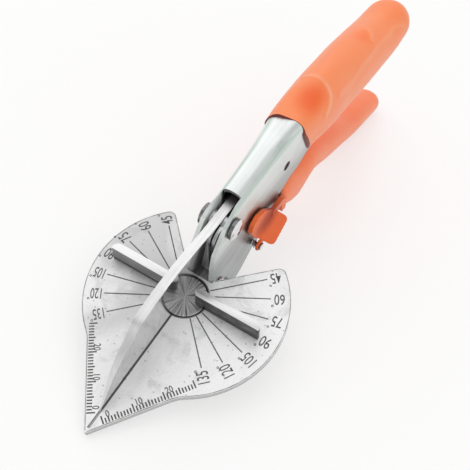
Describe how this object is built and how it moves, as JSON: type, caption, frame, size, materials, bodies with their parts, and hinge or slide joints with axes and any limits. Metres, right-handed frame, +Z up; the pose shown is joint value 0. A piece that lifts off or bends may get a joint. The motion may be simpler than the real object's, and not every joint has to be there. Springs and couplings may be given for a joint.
{
  "type": "mitre shears",
  "caption": "Hand mitre shears: a knife blade closes on a heart-shaped protractor plate with a turning angle fence, worked by sprung orange-coated handles with a thumb latch.",
  "frame": {"origin": "middle of the box's bottom face, on the table that the closed tool lies on", "axes": "+Z up from the table, +Y from the plate's tip towards the handles, +X to the right seen from behind the handles"},
  "size_m": [0.0692, 0.2138, 0.0614],
  "materials": {
    "cast_aluminium": "fine cast aluminium with engraved angle lines, numerals and rulers",
    "bright_steel": "turned and ground bright steel",
    "blade_steel": "polished flat grinds under a bright flat spine",
    "nickel_plate": "satin nickel plate on folded sheet",
    "chrome": "bright chrome plate",
    "orange_vinyl": "soft dipped vinyl with a low sheen",
    "orange_coat": "thin dipped coat on sheet steel"
  },
  "bodies": {
    "frame": {"protractor_plate": "cast_aluminium", "anvil_bracket": "cast_aluminium", "fence_washer": "bright_steel", "plate_screw_front_left": "bright_steel", "plate_screw_front_right": "bright_steel", "plate_screw_rear_left": "bright_steel", "plate_screw_rear_right": "bright_steel", "bracket_rivet_1": "bright_steel", "bracket_rivet_2": "bright_steel", "upper_channel": "nickel_plate", "pivot_bolt": "chrome", "pivot_nut": "chrome", "return_spring": "bright_steel", "upper_grip": "orange_vinyl", "latch_pin": "chrome", "latch_spring": "bright_steel"},
    "lever": {"blade": "blade_steel", "blade_rivet_1": "bright_steel", "blade_rivet_2": "bright_steel", "pivot_bush": "bright_steel", "lever_plate_left": "nickel_plate", "lever_plate_right": "nickel_plate", "catch_pin": "chrome", "spring_seat": "bright_steel", "lower_grip": "orange_vinyl"},
    "fence": {"turntable_disc": "bright_steel", "fence_bar_left": "bright_steel", "fence_bar_right": "bright_steel", "fence_screw_left": "bright_steel", "fence_screw_right": "bright_steel", "fence_nut": "bright_steel"},
    "latch": {"latch": "orange_coat"}
  },
  "joints": [
    {"name": "handle_hinge", "type": "hinge", "parent": "frame", "child": "lever", "pos_m": [-0.0008, -0.03698, 0.03715], "axis": [-1, 0, 0], "range_deg": [0, 28], "deforming": ["return_spring"]},
    {"name": "fence_turn", "type": "hinge", "parent": "frame", "child": "fence", "pos_m": [-0.0008, -0.05418, 0.0155], "axis": [0, -0.2351, 0.972], "range_deg": [-45, 45]},
    {"name": "latch_turn", "type": "hinge", "parent": "frame", "child": "latch", "pos_m": [-0.0008, -0.01761, 0.01406], "axis": [1, 0, 0], "range_deg": [0, 45], "stiffness_Nm_per_rad": 0.004}
  ]
}
